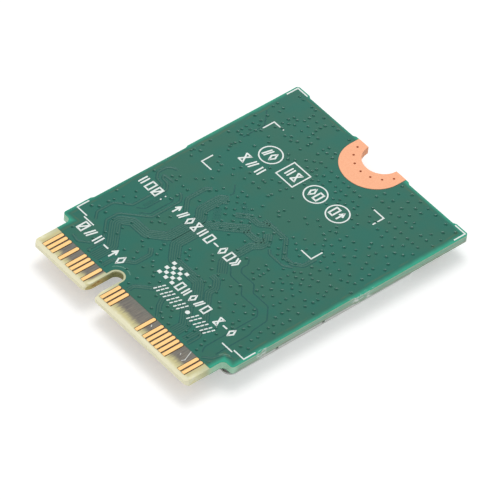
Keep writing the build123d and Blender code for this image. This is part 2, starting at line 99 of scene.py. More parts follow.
# Small helpers for the node trees
def newMaterial(name, roughness, metallic, specular):
    material = bpy.data.materials.new(name)
    material.use_nodes = True
    tree = material.node_tree
    shader = tree.nodes["Principled BSDF"]
    shader.inputs["Roughness"].default_value = roughness
    shader.inputs["Metallic"].default_value = metallic
    shader.inputs["Specular IOR Level"].default_value = specular
    return material, tree, shader


# Makes a node with its inputs set or linked, and gives one of its outputs
def result(tree, kind, inputs, output=0, **settings):
    node = tree.nodes.new("ShaderNode" + kind)
    for name, value in settings.items():
        setattr(node, name, value)
    for name, value in inputs.items():
        if isinstance(value, bpy.types.NodeSocket):
            tree.links.new(value, node.inputs[name])
        else:
            node.inputs[name].default_value = value
    return node.outputs[output]


def calc(tree, operation, a, b=0.0, clamp=False):
    return result(tree, "Math", {0: a, 1: b}, operation=operation, use_clamp=clamp)


def minus(tree, a, b):
    return calc(tree, "SUBTRACT", a, b)


def smaller(tree, first, *others):
    for other in others:
        first = calc(tree, "MINIMUM", first, other)
    return first


def times(tree, first, *others):
    for other in others:
        first = calc(tree, "MULTIPLY", first, other)
    return first


def planLength(tree, dx, dy):
    return calc(tree, "SQRT", calc(tree, "ADD", times(tree, dx, dx), times(tree, dy, dy)))


def step(tree, value, low, high):
    inputs = {"Value": value, "From Min": low, "From Max": high}
    return result(tree, "MapRange", inputs, "Result", interpolation_type="SMOOTHSTEP")


def band(tree, value, low, high, soft):
    rise = step(tree, value, low - soft, low + soft)
    return times(tree, rise, step(tree, value, high + soft, high - soft))


def mixed(tree, factor, a, b):
    return result(tree, "Mix", {0: factor, 6: a, 7: b}, 2, data_type="RGBA")


def placeInMm(tree, stretch=(1, 1, 1)):
    inputs = {"Vector": result(tree, "TexCoord", {}, "Object"), "Scale": [v / mm for v in stretch]}
    return result(tree, "Mapping", inputs, "Vector")


def splitXyz(tree, vector):
    node = tree.nodes.new("ShaderNodeSeparateXYZ")
    tree.links.new(vector, node.inputs[0])
    return list(node.outputs)


def noise(tree, vector, scale, detail=3.0, rough=0.5):
    inputs = {"Vector": vector, "Scale": scale, "Detail": detail, "Roughness": rough}
    return result(tree, "TexNoise", inputs, "Fac")


# Gives the shader its colour, and small relief with a depth in millimetres
def dress(tree, shader, colour, height, depth):
    inputs = {"Strength": 1.0, "Distance": depth * mm, "Height": height}
    tree.links.new(colour, shader.inputs["Base Color"])
    tree.links.new(result(tree, "Bump", inputs, "Normal"), shader.inputs["Normal"])


# Plan sizes of the card that several finishes share, in millimetres
planSizes = {
    "tongueLength": 4.0,
    "shoulderWidth": 1.075,
    "keyX": -2.625,
    "keyHalf": 0.6,
    "keyArc": 2.95,
}
boardLow, boardHigh = (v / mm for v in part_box("circuit_board"))
halfWidth, farEdge, laminateTop = boardHigh
leadingEdge, laminateLow = boardLow.yz
shoulderY = leadingEdge + planSizes["tongueLength"]
tongueHalf = halfWidth - planSizes["shoulderWidth"]
keyX = planSizes["keyX"]
keyHalf = planSizes["keyHalf"]
keyArcY = leadingEdge + planSizes["keyArc"]


# How far a place lies inside the outline of the card
def edgeDistance(tree, x, y):
    ax = calc(tree, "ABSOLUTE", x)
    side = minus(tree, halfWidth, ax)
    far = minus(tree, farEdge, y)
    tongueSide = minus(tree, tongueHalf, ax)
    shoulder = minus(tree, y, shoulderY)
    front = calc(tree, "MAXIMUM", shoulder, tongueSide)
    return smaller(tree, side, far, front)


# How far a place lies from the wall of the key notch
def keyDistance(tree, x, y):
    dx = minus(tree, x, keyX)
    dy = calc(tree, "MAXIMUM", minus(tree, y, keyArcY), 0.0)
    return minus(tree, planLength(tree, dx, dy), keyHalf)


# Light rubbed places along the right side, drawn out along the edge: each from y to y, and how soft
sideWear = {
    "places": [(2.2, 4.2, 0.5), (-8.3, -7.3, 0.2)],
    "stretch": (5, 1.1, 5),
    "grain": (0.47, 0.6),
    "fade": 0.4,
}


def sideScuffs(tree, x, y, reach):
    s = sideWear
    places = calc(tree, "MAXIMUM", *(band(tree, y, *place) for place in s["places"]))
    rubbed = step(tree, noise(tree, placeInMm(tree, s["stretch"]), 1.0, 5, 0.7), *s["grain"])
    onRight = step(tree, x, halfWidth - reach, halfWidth - reach * s["fade"])
    return times(tree, rubbed, places, onRight)


# One where the place lies on the line from a to b, for scratches
def lineMark(tree, x, y, a, b, width):
    ax, ay = minus(tree, x, a[0]), minus(tree, y, a[1])
    dx, dy = b[0] - a[0], b[1] - a[1]
    along = calc(tree, "ADD", times(tree, ax, dx), times(tree, ay, dy))
    along = calc(tree, "DIVIDE", along, dx * dx + dy * dy, clamp=True)
    offX = minus(tree, ax, times(tree, along, dx))
    offY = minus(tree, ay, times(tree, along, dy))
    return step(tree, planLength(tree, offX, offY), width, width * 0.4)


maskFinish = {
    "deep": paint(39, 111, 96),
    "warm": paint(50, 109, 92),
    # Dark of the via domes: deeper mask over the hole, and partly painted shade
    "via": paint(18, 68, 60),
    "gap": paint(30, 88, 84),
    "trace": paint(64, 108, 94),
    # Pale crest of the ridges: a painted highlight
    "ridge": paint(104, 150, 134),
    "rim": paint(52, 172, 140),
    "copperLine": paint(86, 112, 84),
    "scuff": paint(206, 232, 226),
    "traceShare": 0.75,
    "gapShare": 0.85,
    "viaShare": 0.85,
    "copperShare": 0.6,
    "copperPlace": (0.12, 0.26, 0.09),
    "rimLeft": 0.30,
    "rimRight": 0.46,
    "rimFade": (0.14, -0.42),
    "rimWobble": 0.25,
    "scuffReach": 0.34,
    "roughness": 0.34,
    "specular": 0.1,
    "sheen": (0.55, 1.0, 0.9, 1),
    "orangePeel": 0.0015,
}


def makeMaskMaterial(s):
    material, tree, shader = newMaterial("satinGreenMask", s["roughness"], 0.0, s["specular"])
    shader.inputs["Specular Tint"].default_value = s["sheen"]
    here = placeInMm(tree)
    x, y = splitXyz(tree, here)[:2]
    blotch = step(tree, noise(tree, here, 0.28, 4, 0.55), 0.40, 0.62)
    colour = mixed(tree, blotch, s["deep"], s["warm"])
    relief = tree.nodes.new("ShaderNodeAttribute")
    relief.attribute_name = "relief"
    # The via share darkens each dome: the deeper mask over the hole, and partly painted shade
    for part, name in zip(splitXyz(tree, relief.outputs["Color"]), ("trace", "gap", "via")):
        colour = mixed(tree, times(tree, part, s[name + "Share"]), colour, s[name])
    # Crests of the ridges by the key notch and the shoulder get a painted highlight where the relief's
    # alpha is low
    colour = mixed(tree, minus(tree, 1.0, relief.outputs["Alpha"]), colour, s["ridge"])
    # Light rim where the mask runs past the copper, whose edge shows here and there
    wobble = times(tree, minus(tree, noise(tree, here, 0.9, 3), 0.5), s["rimWobble"])
    distance = calc(tree, "ADD", edgeDistance(tree, x, y), wobble)
    width = times(tree, step(tree, x, -halfWidth, halfWidth), s["rimRight"] - s["rimLeft"])
    pastRim = minus(tree, distance, calc(tree, "ADD", width, s["rimLeft"]))
    patchy = step(tree, noise(tree, here, 0.7, 3), 0.42, 0.6)
    copper = times(tree, band(tree, pastRim, *s["copperPlace"]), patchy, s["copperShare"])
    colour = mixed(tree, copper, colour, s["copperLine"])
    colour = mixed(tree, step(tree, pastRim, *s["rimFade"]), colour, s["rim"])
    colour = mixed(tree, sideScuffs(tree, x, y, s["scuffReach"]), colour, s["scuff"])
    dress(tree, shader, colour, noise(tree, here, 5.0, 2), s["orangePeel"])
    return material


laminateFinish = {
    "cream": paint(236, 230, 178),
    "pale": paint(240, 238, 206),
    "olive": paint(206, 196, 134),
    # Front chamfer colour: pale cut glass, and partly a painted highlight
    "bevel": paint(255, 250, 214),
    "shadedCream": paint(198, 200, 156),
    "darkBand": paint(118, 109, 92),
    "darkFibre": paint(86, 80, 70),
    "bandShade": paint(92, 96, 84),
    "ochre": paint(214, 198, 128),
    "arcGreen": paint(150, 150, 96),
    "stain": paint(190, 142, 66),
    "sideGreen": paint(124, 183, 159),
    "sideMint": paint(182, 232, 202),
    "sideLight": paint(168, 200, 172),
    "sideDark": paint(150, 162, 142),
    "innerCopper": paint(146, 124, 108),
    "scuff": paint(232, 236, 232),
    "creamReach": (0.55, 0.12),
    "creamFront": (-14.35, -14.8),
    "shadedPlace": (-14.4, -12.6),
    "bevelHighlightPlace": (-14.6, -14.78),
    "bandStart": -14.12,
    "bandBack": (-13.3, -12.65),
    "bandSides": (0.56, 0.86),
    "bandKey": (0.2, 0.5),
    "copperLines": [(0.49, 0.55), (0.29, 0.3), (0.06, 0.3)],
    "scratchShare": 0.8,
    "scratches": [
        ((7.55, -12.45), (7.98, -13.55), 0.045),
        ((7.98, -13.5), (7.86, -13.78), 0.05),
        ((3.36, -13.22), (3.46, -13.36), 0.055),
        ((6.74, -11.98), (6.86, -12.1), 0.05),
        ((7.2, -13.3), (7.3, -13.46), 0.04),
    ],
    "scuffReach": 0.3,
    "roughness": 0.48,
}


def makeLaminateMaterial(s):
    material, tree, shader = newMaterial("cutGlassEpoxy", s["roughness"], 0.0, 0.4)
    here = placeInMm(tree)
    x, y, z = splitXyz(tree, here)
    fibre = noise(tree, placeInMm(tree, (9, 0.8, 3)), 1.0, 3, 0.6)
    weave = noise(tree, placeInMm(tree, (3.2, 3.2, 6)), 1.0, 2, 0.5)
    onTop = step(tree, z, laminateTop - 0.02, laminateTop - 0.005)
    # Bare tongue: olive towards the copper, cream along the cut edges
    sideInset = minus(tree, tongueHalf, calc(tree, "ABSOLUTE", x))
    keyInset = keyDistance(tree, x, y)
    creamEdge = step(tree, smaller(tree, sideInset, keyInset), *s["creamReach"])
    front = step(tree, y, *s["creamFront"])
    cloudy = step(tree, noise(tree, here, 1.3, 4, 0.6), 0.42, 0.6)
    cut = mixed(tree, cloudy, s["cream"], s["pale"])
    cut = mixed(tree, step(tree, y, *s["shadedPlace"]), cut, s["shadedCream"])
    colour = mixed(tree, calc(tree, "MAXIMUM", creamEdge, front), s["olive"], cut)
    # Front chamfer: pale cut glass, brightened to near white as a painted highlight
    colour = mixed(tree, step(tree, y, *s["bevelHighlightPlace"]), colour, s["bevel"])
    # Inner copper that shows through as a dark band
    shade = mixed(tree, step(tree, fibre, 0.35, 0.7), s["darkFibre"], s["darkBand"])
    shade = mixed(tree, times(tree, step(tree, y, *s["bandBack"]), 0.5), shade, s["bandShade"])
    ragged = calc(tree, "ADD", y, times(tree, minus(tree, fibre, 0.5), 0.9))
    darkY = step(tree, ragged, s["bandStart"] - 0.3, s["bandStart"] + 0.4)
    darkX = times(tree, step(tree, sideInset, *s["bandSides"]), step(tree, keyInset, *s["bandKey"]))
    colour = mixed(tree, times(tree, darkY, darkX, onTop), colour, shade)
    for a, b, width in s["scratches"]:
        mark = times(tree, lineMark(tree, x, y, a, b, width), onTop, s["scratchShare"])
        colour = mixed(tree, mark, colour, s["scuff"])
    # Cut side of the board behind the shoulders, in thin layers
    lower = step(tree, z, laminateLow + 0.1, laminateLow + 0.3)
    layers = mixed(tree, lower, s["sideDark"], s["sideGreen"])
    streaky = step(tree, noise(tree, placeInMm(tree, (1, 0.5, 9)), 1.0, 3, 0.6), 0.42, 0.6)
    layers = mixed(tree, times(tree, streaky, 0.55), layers, s["sideLight"])
    upper = band(tree, z, laminateTop - 0.13, laminateTop - 0.06, 0.03)
    layers = mixed(tree, upper, layers, s["sideLight"])
    for rise, strength in s["copperLines"]:
        line = band(tree, z, laminateLow + rise - 0.02, laminateLow + rise + 0.02, 0.02)
        layers = mixed(tree, times(tree, line, strength), layers, s["innerCopper"])
    atShoulder = band(tree, y, shoulderY - 2.6, shoulderY + 0.5, 0.4)
    layers = mixed(tree, times(tree, atShoulder, 0.75), layers, s["sideMint"])
    behind = step(tree, y, shoulderY - 2.0, shoulderY - 0.9)
    offKey = step(tree, keyInset, 0.1, 0.3)
    offTop = minus(tree, 1.0, onTop)
    colour = mixed(tree, times(tree, behind, offKey, offTop), colour, layers)
    # Walls of the key notch, stained near its mouth
    notch = mixed(tree, step(tree, y, keyArcY - 1.4, keyArcY), s["ochre"], s["arcGreen"])
    stained = step(tree, noise(tree, placeInMm(tree, (1.5, 1.5, 2.5)), 1.0, 3, 0.6), 0.48, 0.62)
    nearMouth = band(tree, y, leadingEdge + 0.5, leadingEdge + 1.9, 0.3)
    notch = mixed(tree, times(tree, stained, nearMouth), notch, s["stain"])
    wall = step(tree, keyInset, 0.07, 0.02)
    depth = step(tree, z, laminateTop, laminateTop - 0.25)
    colour = mixed(tree, times(tree, wall, depth), colour, notch)
    colour = mixed(tree, sideScuffs(tree, x, y, s["scuffReach"]), colour, s["scuff"])
    dress(tree, shader, colour, weave, 0.006)
    return material


# Metals by material slot: name, light and dark colour, then roughness, metallic share, scale of the
# grain and its stretch along x, y and z
metalFinishes = {
    "gold_contact": (
        "goldPlate", paint(248, 208, 138), paint(240, 190, 120), 0.5, 0.2, 1.0, (18, 1.5, 6)),
    "ground_copper": (
        "satinCopper", paint(248, 184, 144), paint(242, 172, 132), 0.6, 0.15, 2.5, (3, 3, 3)),
    "shield_sheet": (
        "tinnedSheet", paint(236, 236, 234), paint(216, 216, 213), 0.36, 0.5, 1.0, (0.8, 16, 8)),
    "tinned_ends": (
        "tinPlate", paint(214, 214, 212), paint(184, 184, 184), 0.3, 1.0, 6.0, (1, 1, 1)),
    "connector_gold": (
        "goldBronze", paint(250, 206, 128), paint(232, 178, 98), 0.3, 1.0, 3.0, (1, 1, 1)),
}
# Dark foot of the contacts: etched copper, and partly painted shade
footAndShadeColour = paint(54, 29, 16)


def makeMetalMaterial(name, light, dark, roughness, metallic, grain, stretch):
    material, tree, shader = newMaterial(name, roughness, metallic, 0.2)
    lines = noise(tree, placeInMm(tree, stretch), grain, 4, 0.6)
    patch = noise(tree, placeInMm(tree), 0.6, 3)
    colour = mixed(tree, step(tree, lines, 0.3, 0.75), dark, light)
    colour = mixed(tree, times(tree, step(tree, patch, 0.5, 0.75), 0.25), colour, dark)
    if name == "goldPlate":  # dark beside the laminate: etched copper under the plating, and partly painted shade around the contact
        height = splitXyz(tree, placeInMm(tree))[2]
        foot = band(tree, height, laminateLow - 0.01, laminateTop + 0.01, 0.003)
        colour = mixed(tree, foot, colour, footAndShadeColour)
    dress(tree, shader, colour, lines, 0.002)
    return material


# Moulded and fired materials by material slot: name, light and dark colour, roughness, grain
plainFinishes = {
    "chip_black": ("mouldedEpoxy", paint(46, 46, 48), paint(33, 33, 35), 0.6, 12.0),
    "chip_substrate": ("greenSubstrate", paint(52, 98, 70), paint(40, 80, 58), 0.5, 5.0),
    "ceramic_white": ("whiteCeramic", paint(226, 222, 210), paint(208, 203, 190), 0.5, 6.0),
    "ceramic_tan": ("tanCeramic", paint(176, 146, 108), paint(150, 120, 84), 0.5, 8.0),
    "ferrite": ("greyFerrite", paint(72, 72, 76), paint(54, 54, 58), 0.55, 9.0),
    "connector_plastic": ("connectorPlastic", paint(234, 230, 216), paint(222, 216, 198), 0.45, 5.0),
}


def makePlainMaterial(name, light, dark, roughness, grain):
    material, tree, shader = newMaterial(name, roughness, 0.0, 0.45)
    speck = noise(tree, placeInMm(tree), grain, 4, 0.6)
    colour = mixed(tree, step(tree, speck, 0.35, 0.65), dark, light)
    dress(tree, shader, colour, speck, 0.003)
    return material


inkFinish = {
    "full": paint(240, 247, 243),
    "thin": paint(150, 190, 178),
    "thinShare": 0.5,
    "thinPlace": (0.68, 0.78),
    "roughness": 0.55,
}


def makeInkMaterial(s):
    material, tree, shader = newMaterial("screenPrintedInk", s["roughness"], 0.0, 0.4)
    speck = noise(tree, placeInMm(tree), 7.0, 4, 0.65)
    thin = times(tree, step(tree, speck, *s["thinPlace"]), s["thinShare"])
    dress(tree, shader, mixed(tree, thin, s["full"], s["thin"]), speck, 0.003)
    return material


looks = {
    "laminate": makeLaminateMaterial(laminateFinish),
    "solder_mask": makeMaskMaterial(maskFinish),
    "white_print": makeInkMaterial(inkFinish),
}
looks.update((slot, makeMetalMaterial(*s)) for slot, s in metalFinishes.items())
looks.update((slot, makePlainMaterial(*s)) for slot, s in plainFinishes.items())
slotOfNode = {row["node"]: row["material_slot"] for row in frame["record"]["subparts"]}
for name, node in nodes.items():
    node.data.materials.clear()
    node.data.materials.append(looks[slotOfNode[name]])
print("finishes made,", len(looks))


# Every new piece goes through here: it rides on the card, has a slot and stands for its node
def finishPiece(piece, slot, *replaced, sharpAngle=60, weighted=True):
    piece.data.materials.append(looks[slot])
    piece.data.shade_smooth()
    piece.data.set_sharp_from_angle(angle=math.radians(sharpAngle))
    if weighted:  # keeps the wide faces flat beside their softened edges
        piece.modifiers.new("evenFaces", "WEIGHTED_NORMAL").keep_sharp = True
    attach(piece, "root")
    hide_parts(*replaced)


def linkMesh(name, mesh):
    piece = bpy.data.objects.new(name, mesh)
    bpy.context.scene.collection.objects.link(piece)
    return piece


def pieceFromForm(name, bm):
    mesh = bpy.data.meshes.new(name)
    bm.to_mesh(mesh)
    bm.free()
    return linkMesh(name, mesh)


def pieceFromLists(name, verts, faces):
    mesh = bpy.data.meshes.new(name)
    mesh.from_pydata(verts, [], faces)
    mesh.update()
    return linkMesh(name, mesh)


# A node's own form, joined up and with its flat faces whole
def nodeCopy(nodeName):
    bm = bmesh.new()
    bm.from_mesh(nodes[nodeName].data)
    bmesh.ops.remove_doubles(bm, verts=bm.verts, dist=1e-7)
    bmesh.ops.dissolve_limit(bm, angle_limit=math.radians(1), verts=bm.verts, edges=bm.edges)
    return bm


# Softens the sharp edges, as cut, moulded and folded edges are
def soften(bm, width, segments=2):
    crisp = [e for e in bm.edges if e.is_manifold and e.calc_face_angle(0) > math.radians(28)]
    bmesh.ops.bevel(bm, geom=crisp, offset=width * mm, segments=segments, profile=0.5,
                    affect="EDGES", clamp_overlap=True)


# Vias under the solder mask from the far edge on: y of a row, then each x, in millimetres
viaRows = {
    14.2: [-9.9, -9.4, -8.3, -7.85, -6.7, -5.5, -4.9, -3.4, 3.45, 4.7, 5.75, 6.75, 7.7, 9.0, 10.2],
    13.65: [-7.45, -5.9], 13.35: [-6.65, 3.95, 5.15, 6.1, 6.8, 9.6], 13.15: [-7.4, -5.95],
    12.6: [-7.4, -5.9, 10.15], 12.4: [-6.7, 3.25, 4.3, 5.4, 6.4, 9.15],
    12.15: [-10.4, -9.65, -8.2, -7.8, -5.75, -5.1, -3.7, -2.85, 7.3],
    11.6: [-10.35, -9.5, -8.35, -7.5, -6.6, -5.7, -3.8, -3.3, -2.6, 3.1, 3.85, 4.7, 6.0, 6.85,
        7.6, 8.75, 9.45, 10.25],
    11.25: [-7.9, -5.0, 5.35], 10.9: [-8.3, -3.7, -5.0],
    10.45: [-9.75, -7.85, -6.6, -5.85, -2.75, -2.1, -1.4, -0.6, 0.2, 0.85, 1.55, 2.25, 3.95,
        6.05, 6.8, 7.5, 8.35, 9.0, 9.65],
    10.07: [-8.3, -7.0, -6.25, -5.0, -3.2],
    9.6: [-10.4, -9.6, -3.7, -2.35, -1.4, -0.6, 0.15, 0.8, 1.45, 2.35, 3.0, 4.5, 5.25, 6.7,
        7.7, 8.75, 10.0],
    9.12: [-3.0, -2.4, -1.8, 0.65, 3.05, 5.0, 6.05, -9.3],
    8.85: [-9.8, -8.7, -7.75, -5.1, -4.25, -1.2, -0.65, 1.55, 2.2, 3.75, 6.9, 8.25, 9.6],
    8.45: [-8.95, -7.2, -4.7, -1.6, 1.15, 1.75, 9.0], 8.15: [-9.35, -9.85, 3.85, 4.6, 7.8],
    7.6: [-9.8, -8.95, -1.6, 1.25, 4.7, 7.0, 8.9], 7.15: [-9.3, -9.75, -7.6, 7.25, 8.1, 9.65],
    6.5: [-10.2, -8.7, -4.8, 3.85, 5.15, 6.0, 7.95, 10.0], 6.05: [-8.85, -3.0, -2.1, 4.3, 6.8],
    5.75: [-8.95, -3.65, -1.0, 2.3, 3.85, 5.15, 8.5, 9.3], 5.45: [-8.8, -2.25, 2.95, 6.0, 7.35],
    5.05: [-8.55, -4.0, -3.75, 1.45, 3.85, 8.75, 9.65], 4.75: [-5.35, 2.1, 4.4, 5.2, 6.8],
    4.55: [-10.3, -6.3, -2.3, 7.7], 4.2: [-4.3, -3.55, -2.35, -0.25, 4.8, 6.0, 9.7],
    3.95: [-8.35, -6.55, -5.1], 3.7: [-10.3, -0.4, 0.95, 4.25, 5.2, 6.8, 8.7],
    3.4: [-7.95, -7.5, -6.05, 0.0, 3.35, 5.8, 7.75, 9.7], 3.05: [-9.85, -1.7, 9.2],
    2.75: [-10.3, -7.1, -4.0, -3.35, 2.6, 4.3, 6.1, 6.95, 8.7], 2.45: [-10.35, 3.3, 7.7, 10.3],
    2.05: [-9.85, -3.75, -2.85, -1.9, -0.9, 3.85, 6.8],
    1.75: [-6.75, -5.25, 1.3, 2.15, 2.95, 4.55, 6.15, 9.25], 1.6: [-3.3, -2.45, -1.35, 8.7],
    1.1: [-7.05, -5.4, -3.85, -1.85, 0.7, 6.7, 7.7], 0.9: [-2.8, -0.85, 1.8, 2.85, 3.6, 5.05, 7.2, 9.0],
    0.6: [-7.5, -5.75, 0.6, 4.5, 6.1], 0.4: [-3.35, -2.3, -1.35, 2.2, 3.35, 4.0, 9.25],
    0.2: [5.7, 6.75, 7.7, 8.7], -0.1: [-3.85, -2.85, -1.85, 6.25], -0.3: [-8.5, -0.85, 4.9, 7.1, 9.3],
    -0.5: [5.7], -0.85: [-8.9, -8.35, -7.45, -6.9, -5.3, -2.4, -1.3, 0.6, 6.6, 7.7, 9.3],
    -1.2: [3.75, 5.6, 7.05, 8.7], -1.4: [-3.8, -2.8, -1.85, -0.85, 4.25, 6.1],
    -1.65: [-10.3, 7.7, 9.25, 10.25], -2.0: [-6.9, 0.95, 2.15, 3.7, 4.35, 5.6, 6.7],
    -2.4: [4.35, 7.65, 8.7], -2.65: [-6.9, 3.75, 6.1, 9.5], -3.05: [4.3, 5.4, 6.75, 7.7, 8.75],
    -3.7: [5.5, 6.3, 7.6, 8.7, 9.7], -4.05: [-5.3, 0.2], -4.45: [-9.3, 0.7, 4.25, 8.75, 9.65],
    -4.9: [-8.8, -5.9, -4.95], -5.15: [-5.35, -1.4, 1.4, 2.25, 2.9, 3.85, 9.3], -5.3: [4.8, 7.05],
    -5.7: [-9.45, -10.35, -5.75, -1.35, -0.85, 6.2, 7.4, 9.3, 10.0],
    -6.15: [-8.85, -0.65, 0.6, 5.6, 6.9], -6.55: [-9.65, -3.1, -1.2, 1.4, 2.2, 2.85, 3.7, 9.3],
    -6.85: [6.2, 8.2], -7.1: [-9.75, -6.65, -4.5, -2.85, 4.7, 7.25, 9.6], -7.45: [5.15, 8.2],
    -7.75: [-4.5, -2.6, 7.2, 9.55], -8.1: [-9.75, -8.9, -7.9, -6.65, -4.0, 7.55],
    -8.55: [-10.2, -2.15, 10.1], -8.9: [-6.4, -3.75, -1.75, 9.55], -9.2: [-1.15, 6.75],
    -9.6: [-7.1, -4.6, -3.4, -2.15, -0.85, 0.0, 7.3], -10.35: [-0.4],
    -10.85: [-7.15, -2.75, -1.45, 1.05, 2.55, 3.1, 5.2, 5.95, 7.3], -11.4: [-9.2, 3.6, 5.6, 7.5],
    -11.75: [-1.4, 2.75, 6.15], -12.05: [-6.25, -4.7, 0.3, 1.9, 3.3, 4.1, 7.7],
}
viaPlaces = [(x, y) for y, row in viaRows.items() for x in row]

maskForm = {
    "level": 2.269,
    "edgeSoft": 0.012,
    "viaRadius": 0.2,
    "viaHeight": 0.05,
    "viaSizes": (0.88, 1.12),
    "viaHeights": (0.8, 1.0),
    "viaDimple": 0.12,
    "viaDimpleSize": 0.3,
    "viaShade": (1.3, 1.4),
    "viaSides": 16,
    "viaRings": [1.0, 0.88, 0.72, 0.54, 0.36, 0.18],
    "traceHeight": 0.009,
    "traceWidth": 0.09,
    "traceSlope": 0.045,
    "traceSpacing": 0.2,
    "traceBend": 0.16,
    "gapWidth": 0.09,
    "gapHeight": 0.001,
    "areaLine": 0.2,
    "areaHeight": 0.0012,
    "areaBend": 0.14,
    "patchHeight": 0.0007,
    "patchShade": 0.42,
    "ridgeOut": 0.55,
    "ridgeWidth": 0.16,
    "ridgeHeight": 0.02,
    "ridgeShade": 0.2,
    "keyRidgeArc": (60, 160, 24),
    "shoulderRidgeArc": (100, 170, 12),
    "shoulderInset": 0.1,
    "shoulderOut": 0.3,
    "sunk": 0.003,
    "seed": 7,
    "lowerViaHeight": 0.012,
    "canMargin": 0.5,
    "padMargin": 0.3,
    "partsX": (3.0, 9.8),
    "partsY": (11.0, 13.9),
}

# Runs of parallel traces: number of traces, then the middle of the run
traceRuns = [
    (5, [(-3.9, 1.25), (-4.4, 0.75), (-4.4, -1.35), (-3.62, -2.13), (-3.62, -5.6), (-4.95, -6.93),
         (-6.7, -6.93), (-7.5, -7.7), (-7.5, -8.2), (-5.5, -10.2), (-5.5, -12.3)]),
    (5, [(-0.2, 0.6), (-1.0, -0.35), (-2.6, -1.95), (-2.6, -5.65), (-1.25, -7.0), (1.9, -7.0),
         (3.35, -8.45), (3.35, -9.4), (5.0, -11.05), (5.0, -12.3)]),
    (2, [(-5.7, 1.0), (-6.1, 0.5), (-6.1, -1.5), (-4.85, -2.75), (-4.85, -3.6)]),
    (1, [(-7.1, -1.5), (-6.6, -1.75), (-6.2, -2.2), (-6.2, -5.3), (-8.2, -7.3), (-8.2, -8.6),
         (-6.4, -10.4), (-6.4, -12.2)]),
    (1, [(-8.25, -2.7), (-8.25, -5.7), (-9.4, -6.85), (-9.4, -8.6), (-8.75, -9.3)]),
    (1, [(-9.1, 0.05), (-9.65, -0.15), (-10.0, -0.6), (-10.0, -1.5), (-9.5, -2.05), (-8.75, -2.1),
         (-8.25, -2.7)]),
    (1, [(-8.2, -1.2), (-8.9, -1.25), (-9.45, -1.3), (-9.2, -1.65), (-8.5, -1.7), (-7.95, -2.2),
         (-7.95, -3.1)]),
    (3, [(-0.5, 0.05), (1.0, 0.05), (1.6, 0.65)]),
    (4, [(1.0, 1.35), (1.75, 0.6), (1.75, -0.1), (1.3, -0.75), (1.3, -3.8), (2.3, -4.8)]),
    (3, [(1.9, -5.6), (2.6, -5.6), (3.3, -6.3), (3.3, -7.1), (5.4, -9.2), (6.2, -10.0), (6.2, -12.2)]),
    (2, [(-0.4, 2.15), (2.4, 2.15), (3.9, 0.65), (4.9, 0.65), (5.6, 1.35), (5.6, 2.7)]),
    (1, [(2.4, 0.3), (2.9, -0.1), (4.6, -0.1), (5.3, 0.5)]),
    (3, [(-2.3, 0.5), (-1.4, 1.4), (-0.3, 1.4), (0.5, 2.2)]),
    (1, [(-8.6, -11.9), (-7.7, -12.1), (-6.9, -11.3), (-6.9, -10.5)]),
    (2, [(-4.3, -12.3), (-4.3, -11.2), (-2.9, -9.8), (-2.9, -8.2), (-3.5, -7.6)]),
    (2, [(-0.9, -12.3), (-0.9, -11.6), (0.3, -10.4), (0.3, -9.9)]),
    (2, [(3.0, -12.3), (2.0, -11.3), (1.6, -10.6), (1.6, -9.3)]),
    (1, [(6.75, -12.3), (6.75, -11.0), (6.3, -10.2)]),
    (1, [(8.5, -12.3), (9.2, -11.6), (9.4, -10.7), (10.2, -10.2)]),
    (1, [(9.0, -12.3), (9.5, -11.9)]),
]

# Edges of copper areas that show as one dark line each
areaEdges = [
    [(1.9, -1.8), (2.4, -1.9), (2.75, -2.3), (2.75, -3.0), (3.15, -3.4), (4.8, -3.4), (5.5, -4.1),
     (7.4, -4.1), (8.6, -5.25), (8.75, -6.95), (8.95, -7.4), (8.95, -9.85), (9.0, -11.2)],
    [(1.95, -3.5), (2.9, -4.35), (4.35, -4.35), (5.1, -5.05), (7.2, -5.05), (7.75, -5.6),
     (7.8, -11.3), (8.2, -11.9)],
    [(2.7, 0.2), (3.0, -0.15), (4.7, -0.15)],
    [(-5.1, 2.9), (-4.3, 2.1), (-4.3, 1.6)],
    [(-10.35, 10.9), (-9.0, 9.5), (-9.0, 7.0)],
    [(-7.0, -2.3), (-6.6, -2.7), (-6.6, -5.2), (-7.3, -5.9)],
    [(-7.7, -2.9), (-7.3, -3.3), (-7.3, -5.1), (-7.9, -5.7)],
]

# Places without copper, a little bluer: width, then the ends of the middle line
barePatches = [
    (0.6, [(-7.62, -2.2), (-7.62, -5.3)]),
    (1.0, [(-3.9, 0.0), (-2.7, -1.2)]),
    (0.8, [(-3.0, 2.0), (-1.5, 1.2)]),
    (0.8, [(-4.0, -5.8), (-2.9, -6.6)]),
    (0.7, [(-1.9, -6.2), (-1.1, -7.2)]),
]


# Cuts each corner of a line by a small arc. A point just inside each end lets it sink only there
def trimmed(points, radius, steps=3, hold=0.12):
    out = [points[0]]
    for before, corner, after in zip(points, points[1:], points[2:]):
        here = Vector(corner)
        back, ahead = Vector(before) - here, Vector(after) - here
        reach = min(radius, back.length * 0.45, ahead.length * 0.45)
        start = here + back.normalized() * reach
        end = here + ahead.normalized() * reach
        for k in range(steps + 1):
            t = k / steps
            out.append(tuple(start.lerp(here, t).lerp(here.lerp(end, t), t)))
    out.append(points[-1])
    near = []
    for tip, inner in ((out[0], out[1]), (out[-1], out[-2])):
        tip, inner = Vector(tip), Vector(inner)
        near.append(tuple(tip.lerp(inner, min(0.4, hold / (inner - tip).length))))
    return [out[0], near[0], *out[1:-1], near[1], out[-1]]


# The way across a line at a point, longer where the line turns there
def across(before, here, after, least=0.5):
    ways = [(Vector(b) - Vector(a)).normalized() for a, b in ((before, here), (here, after)) if a != b]
    along = (ways[0] + ways[-1]).normalized()
    return Vector((-along.y, along.x)) / max(least, along.dot(ways[0]))


